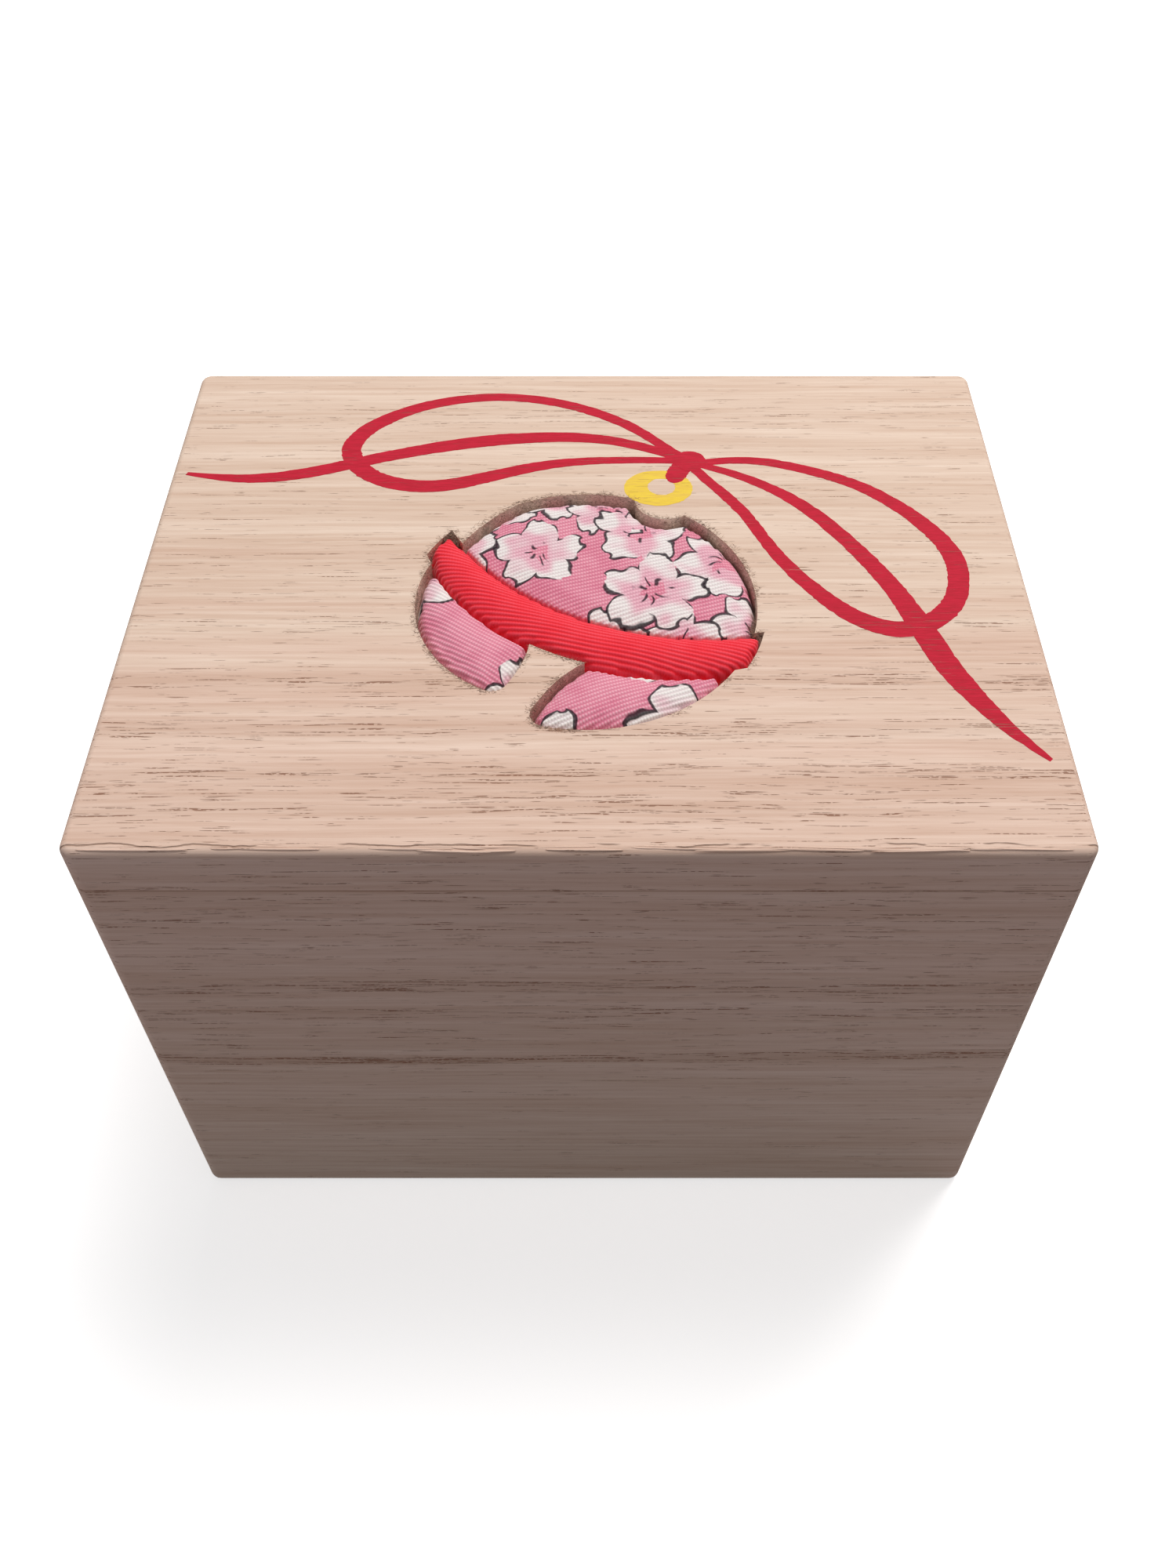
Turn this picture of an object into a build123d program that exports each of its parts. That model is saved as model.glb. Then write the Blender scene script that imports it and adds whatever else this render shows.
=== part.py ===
from build123d import *
import os
from math import cos, radians, sin

# Keepsake box of pale paulownia boards with a battened lift-off lid. The lid carries a round bell
# of padded crepe let into a pocket: an upper pad, two lower lobes either side of a wooden keyhole
# tongue, and a puffed band across the middle. Millimetres, X to the right, Y to the back, Z up,
# origin at the middle of the underside.

# Box
box_width = 90.0
box_depth = 71.0
box_height = 65.0
wall_thickness = 5.5
bottom_thickness = 4.0
corner_rabbet = 2.75
bottom_rebate = 2.75
bottom_fit = 0.05
corner_radius = 1.3
base_radius = 1.1
seam_arris = 0.12
rim_chamfer = 0.3

# Lid
lid_thickness = 5.5
lid_edge_radius = 0.8
lid_play = 0.4
batten_width = 8.0
batten_height = 5.0
batten_chamfer = 0.9
peg_radius = 1.0
peg_bite = 3.0
peg_end_margin = 10.0
peg_fit = 0.02
peg_tip_chamfer = 0.3

# Bell, drawn in its own frame: V runs up the bell's axis and U to its right, from its centre
bell_x = 0.4
bell_y = -4.1
bell_tilt = 23.0
bell_radius = 17.1
pocket_depth = 2.5
shoulder_inset = 1.5
shoulder_radius = 21.8
shoulder_v = 0.6
left_lobe_radius = 14.0
left_lobe_direction = 196.0
notch_radius = 3.35
notch_u = 1.4
notch_rise = 1.2
band_u = 1.4
band_top_v = -1.8
band_top_radius = 30.0
band_width = 6.0
band_bottom_radius = 27.3
band_overhang = 0.9

# Keyhole tongue of wood between the two lower lobes
tongue_u = 0.1
tongue_lean = 7.2
tongue_head = 3.6
tongue_lap = 1.5
tongue_neck = 1.85
tongue_flare = 5.2
lip_radius = 1.6

# Pads and their cloth
pad_gap = 0.15
pad_corner_radius = 1.5
pad_shoulder = 1.2
cloth_thickness = 0.35
upper_height = 2.1
upper_dome = 150.0
lobe_height = 2.1
lobe_dome = 60.0
band_height = 2.9
band_dome = 150.0

half_width = box_width / 2
half_depth = box_depth / 2
wall_height = box_height - lid_thickness
inner_half_width = half_width - wall_thickness
inner_half_depth = half_depth - wall_thickness
bottom_half_width = inner_half_width + bottom_rebate
bottom_half_depth = inner_half_depth + bottom_rebate
side_half_length = inner_half_depth + corner_rabbet
on_ground = (Align.CENTER, Align.CENTER, Align.MIN)

# The box is planed after it is glued, so one rounded outer form trims all four walls
with BuildPart() as outer_form:
    Box(box_width, box_depth, wall_height, align=on_ground)
    fillet(outer_form.edges().filter_by(Axis.Z), corner_radius)
    fillet(outer_form.edges().group_by(Axis.Z)[0], base_radius)
    chamfer(outer_form.edges().group_by(Axis.Z)[-1], seam_arris)

# What the walls give up: the bottom board's seat at their feet and an eased rim at their tops
with BuildPart() as wall_reliefs:
    Box(2 * bottom_half_width, 2 * bottom_half_depth, bottom_thickness, align=on_ground)
    with BuildSketch(Plane.XY.offset(wall_height - rim_chamfer)):
        Rectangle(2 * inner_half_width, 2 * inner_half_depth)
    extrude(amount=rim_chamfer, taper=-45)

# The front wall runs the full width and hides the corner joints: a rabbet at each end takes the
# end of a side wall
with BuildPart() as front_wall:
    with BuildSketch():
        with Locations((0, -half_depth)):
            Rectangle(box_width, wall_thickness, align=(Align.CENTER, Align.MIN))
        with Locations((-half_width, -side_half_length), (half_width, -side_half_length)):
            Rectangle(
                2 * wall_thickness,
                corner_rabbet,
                align=(Align.CENTER, Align.MIN),
                mode=Mode.SUBTRACT,
            )
    extrude(amount=wall_height)
    add(outer_form.part, mode=Mode.INTERSECT)
    add(wall_reliefs.part, mode=Mode.SUBTRACT)
front_wall.part.label = "front_wall"

with BuildPart() as back_wall:
    mirror(front_wall.part, about=Plane.XZ)
back_wall.part.label = "back_wall"

# The side walls stand in the rabbets; a fine arris shows the glue line on each side of the box
with BuildPart() as left_wall:
    with BuildSketch():
        with Locations((-half_width, 0)):
            Rectangle(wall_thickness, 2 * side_half_length, align=(Align.MIN, Align.CENTER))
    extrude(amount=wall_height)
    chamfer(left_wall.edges().filter_by(Axis.Z).group_by(Axis.X)[0], seam_arris)
    add(outer_form.part, mode=Mode.INTERSECT)
    add(wall_reliefs.part, mode=Mode.SUBTRACT)
left_wall.part.label = "left_wall"

with BuildPart() as right_wall:
    mirror(left_wall.part, about=Plane.YZ)
right_wall.part.label = "right_wall"

# The bottom board drops into the seat from below and is planed flush with the feet
with BuildPart() as bottom_board:
    Box(
        2 * (bottom_half_width - bottom_fit),
        2 * (bottom_half_depth - bottom_fit),
        bottom_thickness,
        align=on_ground,
    )
bottom_board.part.label = "bottom_board"

# Lid battens: they run front to back inside the side walls and keep the lid from sliding
batten_x = inner_half_width - lid_play - batten_width / 2
batten_length = 2 * (inner_half_depth - lid_play)
peg_length = batten_height + peg_bite
peg_y = batten_length / 2 - peg_end_margin
peg_places = [(x, y) for x in (-batten_x, batten_x) for y in (-peg_y, peg_y)]
batten_foot = Plane.XY.offset(wall_height - batten_height)

with BuildPart() as peg_holes:
    with BuildSketch(batten_foot):
        with Locations(*peg_places):
            Circle(peg_radius + peg_fit)
    extrude(amount=peg_length)

with BuildPart() as lid_batten_left:
    with BuildSketch(batten_foot):
        with Locations((-batten_x, 0)):
            Rectangle(batten_width, batten_length)
    extrude(amount=batten_height)
    chamfer(lid_batten_left.edges().group_by(Axis.Z)[0], batten_chamfer)
    add(peg_holes.part, mode=Mode.SUBTRACT)
lid_batten_left.part.label = "lid_batten_left"

with BuildPart() as lid_batten_right:
    mirror(lid_batten_left.part, about=Plane.YZ)
lid_batten_right.part.label = "lid_batten_right"

# Four wooden pegs, driven up through the battens into the lid board
with BuildPart() as batten_pegs:
    with BuildSketch(batten_foot):
        with Locations(*peg_places):
            Circle(peg_radius)
    extrude(amount=peg_length)
    chamfer(batten_pegs.edges().group_by(Axis.Z)[-1], peg_tip_chamfer)
batten_pegs.part.label = "batten_pegs"

# The bell's frame on the lid's upper face and on the pocket's floor
tilt = radians(bell_tilt)
bell_right = (cos(tilt), -sin(tilt), 0)
bell_top = Plane(origin=(bell_x, bell_y, box_height), x_dir=bell_right, z_dir=(0, 0, 1))
pocket_floor = bell_top.offset(-pocket_depth)

# The band's two edges are arcs of large circles whose centres lie above it
band_top_centre = (band_u, band_top_v + band_top_radius)
band_bottom_v = band_top_v - band_width
band_bottom_centre = (band_u, band_bottom_v + band_bottom_radius)

# The left lobe is rounder than the bell, and touches the bell's circle from inside
lobe_shift = bell_radius - left_lobe_radius
lobe_angle = radians(left_lobe_direction)
left_lobe_centre = (lobe_shift * cos(lobe_angle), lobe_shift * sin(lobe_angle))
tongue_length = 2 * bell_radius
tongue_frame = Plane((tongue_u, band_bottom_v, 0)).rotated((0, 0, -tongue_lean))


def band_plan(inset=0.0):
    """The band's strip, which runs a little past the bell at both ends."""
    with BuildSketch(mode=Mode.PRIVATE) as plan:
        Circle(bell_radius + band_overhang - inset)
        with Locations(band_bottom_centre):
            Circle(band_bottom_radius - inset, mode=Mode.INTERSECT)
        with Locations(band_top_centre):
            Circle(band_top_radius + inset, mode=Mode.SUBTRACT)
    return plan.sketch


def upper_plan(inset=0.0):
    """The bell above the band, drawn in at its left shoulder and notched by a round wooden bump."""
    with BuildSketch(mode=Mode.PRIVATE) as plan:
        Circle(bell_radius - inset)
        with Locations((shoulder_inset + shoulder_radius - bell_radius, shoulder_v)):
            Circle(shoulder_radius - inset, mode=Mode.INTERSECT)
        with Locations(band_top_centre):
            Circle(band_top_radius - inset, mode=Mode.INTERSECT)
        with Locations((notch_u, bell_radius + notch_rise)):
            Circle(notch_radius + inset, mode=Mode.SUBTRACT)
    return plan.sketch


def tongue_plan(inset=0.0):
    """The keyhole tongue: wide at its head under the band, narrowing to a straight neck."""
    with BuildSketch(tongue_frame, mode=Mode.PRIVATE) as plan:
        with BuildLine():
            neck = Line((tongue_neck + inset, -tongue_length), (tongue_neck + inset, -tongue_flare))
            flare = TangentArc(neck @ 1, (tongue_head + inset, tongue_lap), tangent=neck % 1)
            Line(flare @ 1, (0, tongue_lap))
            Line((0, -tongue_length), neck @ 0)
            mirror(about=Plane.YZ)
        make_face()
    return plan.sketch


def lobe_plan(centre, radius, side, inset=0.0):
    """What a circle leaves below the band on one side of the tongue: 0 is left and -1 right."""
    with BuildSketch(mode=Mode.PRIVATE) as below_band:
        with Locations(centre):
            Circle(radius - inset)
        with Locations(band_bottom_centre):
            Circle(band_bottom_radius + inset, mode=Mode.SUBTRACT)
        add(tongue_plan(inset), mode=Mode.SUBTRACT)
    with BuildSketch(mode=Mode.PRIVATE) as plan:
        add(below_band.faces().sort_by(Axis.X)[side])
        fillet(plan.vertices().sort_by(Axis.Y)[0], lip_radius - inset)
    return plan.sketch


def left_lobe_plan(inset=0.0):
    return lobe_plan(left_lobe_centre, left_lobe_radius, 0, inset)


def right_lobe_plan(inset=0.0):
    return lobe_plan((0, 0), bell_radius, -1, inset)


# The lid board, with the bell's pocket in its upper face and blind holes for the pegs below
with BuildPart() as lid_board:
    with BuildSketch(Plane.XY.offset(wall_height)):
        Rectangle(box_width, box_depth)
    extrude(amount=lid_thickness)
    fillet(lid_board.edges().filter_by(Axis.Z), corner_radius)
    fillet(lid_board.edges().group_by(Axis.Z)[-1], lid_edge_radius)
    chamfer(lid_board.edges().group_by(Axis.Z)[0], seam_arris)
    with BuildSketch(bell_top):
        for plan in (upper_plan, band_plan, left_lobe_plan, right_lobe_plan):
            add(plan())
    extrude(amount=-pocket_depth, mode=Mode.SUBTRACT)
    add(peg_holes.part, mode=Mode.SUBTRACT)
lid_board.part.label = "lid_board"


def crowned_pad(plan, height, dome_radius, skin=0.0):
    """A pad on the pocket's floor, its surface a skin's thickness below the cloth's."""
    with BuildPart(mode=Mode.PRIVATE) as pad:
        with BuildSketch(pocket_floor):
            add(plan(pad_gap + skin))
        extrude(amount=height)
        fillet(pad.edges().filter_by(Axis.Z), pad_corner_radius - skin)
        crown = pad.faces().sort_by(Axis.Z)[-1].center()
        with Locations((crown.X, crown.Y, crown.Z - dome_radius)):
            Sphere(dome_radius - skin, rotation=(90, 0, 0), mode=Mode.INTERSECT)
        fillet(pad.faces().sort_by(Axis.Z)[-1].edges(), pad_shoulder - skin)
    return pad.part


# Each pad is a soft core that the crepe is drawn over; its edge is tucked down beside the core
inlays = {
    "upper": (upper_plan, upper_height, upper_dome),
    "lower_left": (left_lobe_plan, lobe_height, lobe_dome),
    "lower_right": (right_lobe_plan, lobe_height, lobe_dome),
    "band": (band_plan, band_height, band_dome),
}
soft_pieces = []
for name, form in inlays.items():
    with BuildPart() as pad_core:
        add(crowned_pad(*form, skin=cloth_thickness))
    pad_core.part.label = f"{name}_pad_core"
    with BuildPart() as fabric:
        add(crowned_pad(*form))
        add(pad_core.part, mode=Mode.SUBTRACT)
    fabric.part.label = f"{name}_fabric"
    soft_pieces += [pad_core, fabric]

box_pieces = [front_wall, back_wall, left_wall, right_wall, bottom_board]
lid_pieces = [lid_board, lid_batten_left, lid_batten_right, batten_pegs]
os.makedirs("parts", exist_ok=True)
for piece in box_pieces + lid_pieces + soft_pieces:
    export_step(piece.part, f"parts/{piece.part.label}.step")
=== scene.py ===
# %% [markdown]
# # A small wooden keepsake box with a padded fabric bell in its lid
#
# The box is bare paulownia wood, about 90 mm wide. Its loose lid carries a round bell: a shallow
# pocket cut into the board, filled with four little pads covered with crepe. A cord bow and a
# ring are printed on the wood above it.
#
# The boards, battens and pegs come from the CAD model and only need their finish. What is
# modelled here is what CAD can't show well: the padded crepe, the ink, and the frayed wood.

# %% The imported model, loaded as a fixed frame
import math
import random
from contextlib import contextmanager
from functools import partialmethod

import bmesh
import bpy
import numpy as np
from mathutils import Matrix, Vector, noise
from mathutils.bvhtree import BVHTree
from mathutils.kdtree import KDTree


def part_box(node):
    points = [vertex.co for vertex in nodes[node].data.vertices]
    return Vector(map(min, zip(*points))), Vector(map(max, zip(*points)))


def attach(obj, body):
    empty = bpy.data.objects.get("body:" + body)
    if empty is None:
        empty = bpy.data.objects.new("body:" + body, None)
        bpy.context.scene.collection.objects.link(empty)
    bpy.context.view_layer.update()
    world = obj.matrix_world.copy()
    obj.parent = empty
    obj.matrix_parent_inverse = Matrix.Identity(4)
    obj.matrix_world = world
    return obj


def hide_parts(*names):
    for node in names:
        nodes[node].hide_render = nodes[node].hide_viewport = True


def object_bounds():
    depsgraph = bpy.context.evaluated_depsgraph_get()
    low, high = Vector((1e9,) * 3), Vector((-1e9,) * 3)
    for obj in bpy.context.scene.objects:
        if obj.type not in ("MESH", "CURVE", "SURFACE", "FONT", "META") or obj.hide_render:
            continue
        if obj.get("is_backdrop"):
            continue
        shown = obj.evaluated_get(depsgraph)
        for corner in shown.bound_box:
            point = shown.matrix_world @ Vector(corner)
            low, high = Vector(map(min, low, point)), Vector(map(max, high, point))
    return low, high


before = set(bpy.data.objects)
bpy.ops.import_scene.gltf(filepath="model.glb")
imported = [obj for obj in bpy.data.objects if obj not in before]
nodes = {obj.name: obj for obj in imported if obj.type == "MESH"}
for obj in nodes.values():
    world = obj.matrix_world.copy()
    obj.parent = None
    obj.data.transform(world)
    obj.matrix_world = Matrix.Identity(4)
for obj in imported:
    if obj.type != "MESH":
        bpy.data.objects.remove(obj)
cad_low, cad_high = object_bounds()
scene = bpy.context.scene
MM = 0.001
print("CAD box, mm:", [round(v / MM, 2) for v in (*cad_low, *cad_high)])

# %% [markdown]
# ## The camera
#
# A pinhole camera was fitted to the six corners of the box that the photo shows. It stands in
# front of the box and looks down by about 50 degrees. The photo was cropped a little off its
# middle, which a small sideways shift of the lens repeats.

# %% Camera
photo_height = 2000.0
focal_pixels = 1825.1
crop_pixels = 15.8
camera_tilt = math.radians(49.89)
camera_place = Vector((1.85, -109.95, 162.63)) * MM

bpy.ops.object.camera_add(location=camera_place, rotation=(math.pi / 2 - camera_tilt, 0, 0))
camera = bpy.context.object
lens = camera.data
lens.sensor_width = 36.0
lens.lens = lens.sensor_width * focal_pixels / photo_height
lens.shift_x = -crop_pixels / photo_height
lens.clip_start = 0.005
scene.camera = camera
scene.view_settings.view_transform = "Standard"
print("lens, mm:", round(lens.lens, 2))

# %% [markdown]
# ## A short way to write materials
#
# A material is a graph of nodes, and most of them are plain sums. Wiring them one by one hides
# the idea, so a `Wire` wraps one socket and lets Python's own signs add the Math nodes:
# `1 - mask * 0.5` is two nodes. All others, such as noise or a colour mix, come from the one
# method `node`, which takes the node's type, its settings, and the values of its sockets.


# %% Wires and finishes
class Wire:
    """One value in a material, which Python's signs can work with."""

    def __init__(self, finish, socket):
        self.finish = finish
        self.socket = socket

    def math(self, operation, *others):
        return self.finish.node("ShaderNodeMath", {"operation": operation}, self, *others)

    def __rsub__(self, first):
        return self.finish.node("ShaderNodeMath", {"operation": "SUBTRACT"}, first, self)

    __add__ = __radd__ = partialmethod(math, "ADD")
    __sub__ = partialmethod(math, "SUBTRACT")
    __mul__ = __rmul__ = partialmethod(math, "MULTIPLY")
    __truediv__ = partialmethod(math, "DIVIDE")
    __pow__ = partialmethod(math, "POWER")
    __abs__ = partialmethod(math, "ABSOLUTE")

    def output(self, name):
        """Another output of the node that this wire comes from."""
        return Wire(self.finish, self.socket.node.outputs[name])


class Graph:
    """A node graph in the making, with short ways to the nodes that the finishes share."""

    def __init__(self, tree):
        self.tree = tree

    def put(self, socket, value):
        if isinstance(value, Wire):
            self.tree.links.new(value.socket, socket)
        else:
            socket.default_value = value

    def node(self, kind, settings=None, *values, **named):
        made = self.tree.nodes.new(kind)
        for key, value in (settings or {}).items():
            setattr(made, key, value)
        sockets = [s for s in made.inputs if s.enabled]
        for socket, value in zip(sockets, values):
            self.put(socket, value)
        for key, value in named.items():
            self.put(next(s for s in sockets if s.name == key), value)
        return Wire(self, next(s for s in made.outputs if s.enabled))

    def seen_from(self, spot, centre=(0, 0, 0), turn=0.0, unit=1.0):
        """A place as seen from a centre, turned about Z and counted in this unit."""
        settings = {"vector_type": "TEXTURE"}
        scale = (unit, unit, unit)
        return self.node("ShaderNodeMapping", settings, spot, centre, (0, 0, turn), scale)

    def place(self, turn=0.0, centre=(0, 0, 0)):
        """Object coordinates in millimetres, from a centre and turned about Z."""
        spot = self.node("ShaderNodeTexCoord").output("Object")
        return self.seen_from(spot, [c * MM for c in centre], turn, MM)

    def vector(self, operation, first, second):
        return self.node("ShaderNodeVectorMath", {"operation": operation}, first, second)

    def noise(self, spot, size, detail=2.0):
        """Soft noise from 0 to 1 whose blots are about this size, in millimetres."""
        size = size if isinstance(size, tuple) else (size, size, size)
        spot = self.vector("MULTIPLY", spot, [1 / s for s in size])
        return self.node("ShaderNodeTexNoise", None, Vector=spot, Scale=1.0, Detail=detail)

    def axes(self, spot):
        """The X, Y and Z of a vector, as three wires."""
        first = self.node("ShaderNodeSeparateXYZ", None, spot)
        return first, first.output("Y"), first.output("Z")

    def ramp(self, value, low, high):
        """0 below low, 1 above high, and a smooth step between them."""
        settings = {"interpolation_type": "SMOOTHSTEP"}
        return self.node("ShaderNodeMapRange", settings, value, low, high, 0.0, 1.0)

    def profile(self, value, heights):
        """A line through the places and heights of a list, from its first place to its last."""
        low, high = heights[0][0], heights[-1][0]
        line = self.node("ShaderNodeValToRGB", None, (value - low) / (high - low))
        stops = line.socket.node.color_ramp.elements
        for place, _ in heights[1:-1]:
            stops.new((place - low) / (high - low))
        for stop, (_, height) in zip(stops, heights):
            stop.color = (height, height, height, 1.0)
        return line

    def mix(self, share, first, second, way="MIX"):
        settings = {"data_type": "RGBA", "blend_type": way}
        return self.node("ShaderNodeMix", settings, share, first, second)


def length_of(x, y):
    """The length of a way that is given by its two legs."""
    return (x * x + y * y).math("SQRT")


sheen_roughness = 0.4


class Finish(Graph):
    """A material in the making, with its Principled shader."""

    def __init__(self, name, roughness=0.7, specular=0.3, sheen=0.0):
        self.material = bpy.data.materials.new(name)
        self.material.use_nodes = True
        super().__init__(self.material.node_tree)
        self.shader = self.tree.nodes["Principled BSDF"]
        names = ("Roughness", "Specular IOR Level", "Sheen Weight", "Sheen Roughness")
        for name, value in zip(names, (roughness, specular, sheen, sheen_roughness)):
            self.shader.inputs[name].default_value = value

    def finish(self, colour, height=None, depth=0.05):
        """Joins the colour and the relief, in which 1 of height stands depth millimetres proud."""
        self.put(self.shader.inputs["Base Color"], colour)
        if height is not None:
            bump = self.node("ShaderNodeBump", None, Distance=depth * MM, Height=height)
            self.put(self.shader.inputs["Normal"], bump)
        return self.material


def shade(red, green, blue):
    """A colour as a paint chart gives it, 0 to 255, in the linear values that nodes take."""
    linear = [((v / 255 + 0.055) / 1.055) ** 2.4 for v in (red, green, blue)]
    return (*linear, 1.0)


# %% [markdown]
# ## Floor, air and lamps
#
# The box stands on a plain white sweep. The light falls from above and a little from behind, so
# the top is bright and the front lies in its own shade. Floor and air look white to the camera,
# but give back less light than white paper would, or the front would be too bright. The floor
# glows a little, and more where the lamps don't reach, so it has no grey horizon and still
# keeps the box's shadow.

# %% Stage and light
floor_size = 6.0
bpy.ops.mesh.primitive_plane_add(size=floor_size, location=(0, 0, 0))
floor = bpy.context.object
floor.name = "floor"
floor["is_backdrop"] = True


def seen_directly(finish):
    """1 where the camera looks, straight or by reflection, and 0 for the light that scatters."""
    path = finish.node("ShaderNodeLightPath")
    seen = path + path.output("Is Glossy Ray") + path.output("Is Transmission Ray")
    return seen.math("MINIMUM", 1.0)


paper = Finish("white_sweep", roughness=0.9, specular=0.0)
paper_bounce = shade(129, 120, 130)
paper_seen = shade(248, 248, 248)
paper_glow = 0.62
far_glow = 0.95
lamp_reach = (150, 1300)
direct = seen_directly(paper)
floor_x, floor_y, _ = paper.axes(paper.place())
far = paper.ramp(length_of(floor_x, floor_y), *lamp_reach)
glow = direct * (far * (far_glow - paper_glow) + paper_glow)
paper.shader.inputs["Emission Strength"].default_value = 1.0
glow_grey = paper.node("ShaderNodeCombineXYZ", None, glow, glow, glow)
paper.put(paper.shader.inputs["Emission Color"], glow_grey)
floor.data.materials.append(paper.finish(paper.mix(direct, paper_bounce, paper_seen)))

world = bpy.data.worlds.new("studio_air")
scene.world = world
world.use_nodes = True
air = Graph(world.node_tree)
air_strength = 0.2
background = air.tree.nodes["Background"]
background.inputs["Color"].default_value = (1, 1, 1, 1)
air.put(background.inputs["Strength"], seen_directly(air) * (1 - air_strength) + air_strength)


def soft_lamp(name, place, size, power, colour):
    """A square lamp that looks at the box."""
    bpy.ops.object.light_add(type="AREA", location=place)
    lamp = bpy.context.object
    lamp.name = name
    lamp.data.size = size
    lamp.data.energy = power
    lamp.data.color = colour
    aim = Vector((0, 0, cad_high.z)) - lamp.location
    lamp.rotation_euler = aim.to_track_quat("-Z", "Y").to_euler()


soft_lamp("window", (0.2, 0.35, 0.78), 0.45, 6.2, (1.0, 0.975, 0.955))
soft_lamp("fill", (-0.5, -0.55, 0.35), 0.5, 0.5, (0.95, 0.91, 1.0))

# %% [markdown]
# ## Small helpers for modelling
#
# An operator acts on whatever is selected, so each piece is picked on its own before it is
# worked on, and faces or edges are picked in code by where they are. A finished piece has its
# place in its own mesh, with its object at the origin, and rides on the lid.


# %% Picking, applying and riding
def pick(*pieces):
    """Selects these objects alone and makes the first one active."""
    bpy.ops.object.select_all(action="DESELECT")
    for piece in pieces:
        piece.select_set(True)
    bpy.context.view_layer.objects.active = pieces[0]


def added(name):
    """Names the object that an operator has just added."""
    made = bpy.context.object
    made.name = name
    made.data.name = name
    return made


def pick_all():
    bpy.ops.mesh.select_all(action="SELECT")


@contextmanager
def editing(piece):
    """Edit mode on this whole piece within a with block, and object mode after it."""
    pick(piece)
    bpy.ops.object.mode_set(mode="EDIT")
    pick_all()
    yield
    bpy.ops.object.mode_set(mode="OBJECT")


def pick_elements(piece, kind, test):
    """In edit mode, selects the verts, edges or faces that pass a test, and nothing else."""
    bpy.ops.mesh.select_all(action="DESELECT")
    shape = bmesh.from_edit_mesh(piece.data)
    for element in getattr(shape, kind):
        element.select_set(test(element))
    bmesh.update_edit_mesh(piece.data)


def apply_modifiers(piece):
    pick(piece)
    for modifier in list(piece.modifiers):
        bpy.ops.object.modifier_apply(modifier=modifier.name)


def points_of(piece, what="co"):
    """The places or the normals of the mesh's points as an array, one row each."""
    flat = np.empty(len(piece.data.vertices) * 3)
    piece.data.vertices.foreach_get(what, flat)
    return flat.reshape(-1, 3)


def set_points(piece, points):
    piece.data.vertices.foreach_set("co", np.asarray(points, float).ravel())
    piece.data.update()


def settle(piece, material):
    """Gives a finished piece its place, its body and its finish."""
    pick(piece)
    bpy.ops.object.transform_apply()
    piece.data.materials.clear()
    piece.data.materials.append(material)
    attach(piece, "lid")
    print(piece.name, "faces:", len(piece.data.polygons))


# %% [markdown]
# ## Paulownia
#
# Paulownia is a soft, pale, light wood. Its pores are wide enough to see: cut along, they show
# as short brown dashes in broken lines, and cut across, as dots. The finish is a solid one, a
# pattern in space that each board is cut out of, so dashes on a face turn into dots at its end
# by themselves. The dashes are the peaks of a noise that is drawn out along the grain.
#
# The pores crowd together where a year's growth begins. A board shows only a few years, so each
# board has a list of places across its face, in millimetres, and how crowded the pores are
# there. The lists of the front and the lid follow the photo, and the others are made up.

# %% Solid wood
pale_wood = shade(243, 221, 203)
tan_wood = shade(211, 178, 155)
rosy_tint = shade(255, 249, 250)
year_brown = shade(168, 126, 98)
pore_brown = shade(128, 78, 50)
cut_end = shade(200, 164, 134)

# How large the wood's blots are along, across and up, in millimetres.
string_size = (14, 0.32, 0.32)
pore_sizes = ((6.0, 0.145), (2.6, 0.1))
break_size = (0.45, 0.2, 0.2)
wander_size = (60, 12, 12)
fibre_size = (5.0, 0.09, 0.09)
streak_size = (24, 0.5, 0.5)
broad_size = (80, 3.2, 3.2)

# A pore shows where its noise is above a level, which sinks where the pores crowd.
pore_level = 0.79
crowd_sinks = 0.16
pore_edge = 0.07
grain_slip = 1.5


def pores_of(wood, in_log, crowd):
    """Dashes of wide pores from 0 to 1, more and longer ones where they crowd."""
    strings = wood.ramp(wood.noise(in_log, string_size), 0.42, 0.6)
    level = pore_level - crowd * strings * crowd_sinks
    pores = 0.0
    for length, width in pore_sizes:
        drawn = wood.noise(in_log, (length, width, width), 0.0)
        pores = wood.ramp(drawn, level, level + pore_edge).math("MAXIMUM", pores)
    breaks = wood.ramp(wood.noise(in_log, break_size, 1.0), 0.38, 0.5)
    return pores * (breaks * 0.8 + 0.2)


# %% Painted shade in the seam
seam_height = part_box("front_wall")[1].z / MM
seam_fade = (0.17, 0.07)
skin_start = 0.35
skin_full = 0.2


def seam_shade(wood):
    """1 in the fine groove under the lid, where the outer faces of lid and box meet: the mask of a
    painted shade.
    """
    x, y, z = wood.axes(wood.place())
    level = wood.ramp(abs(z - seam_height), *seam_fade)
    outer_x, outer_y = (
        wood.ramp(abs(side), face / MM - skin_start, face / MM - skin_full)
        for side, face in ((x, cad_high.x), (y, cad_high.y))
    )
    return level * outer_x.math("MAXIMUM", outer_y)


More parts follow.
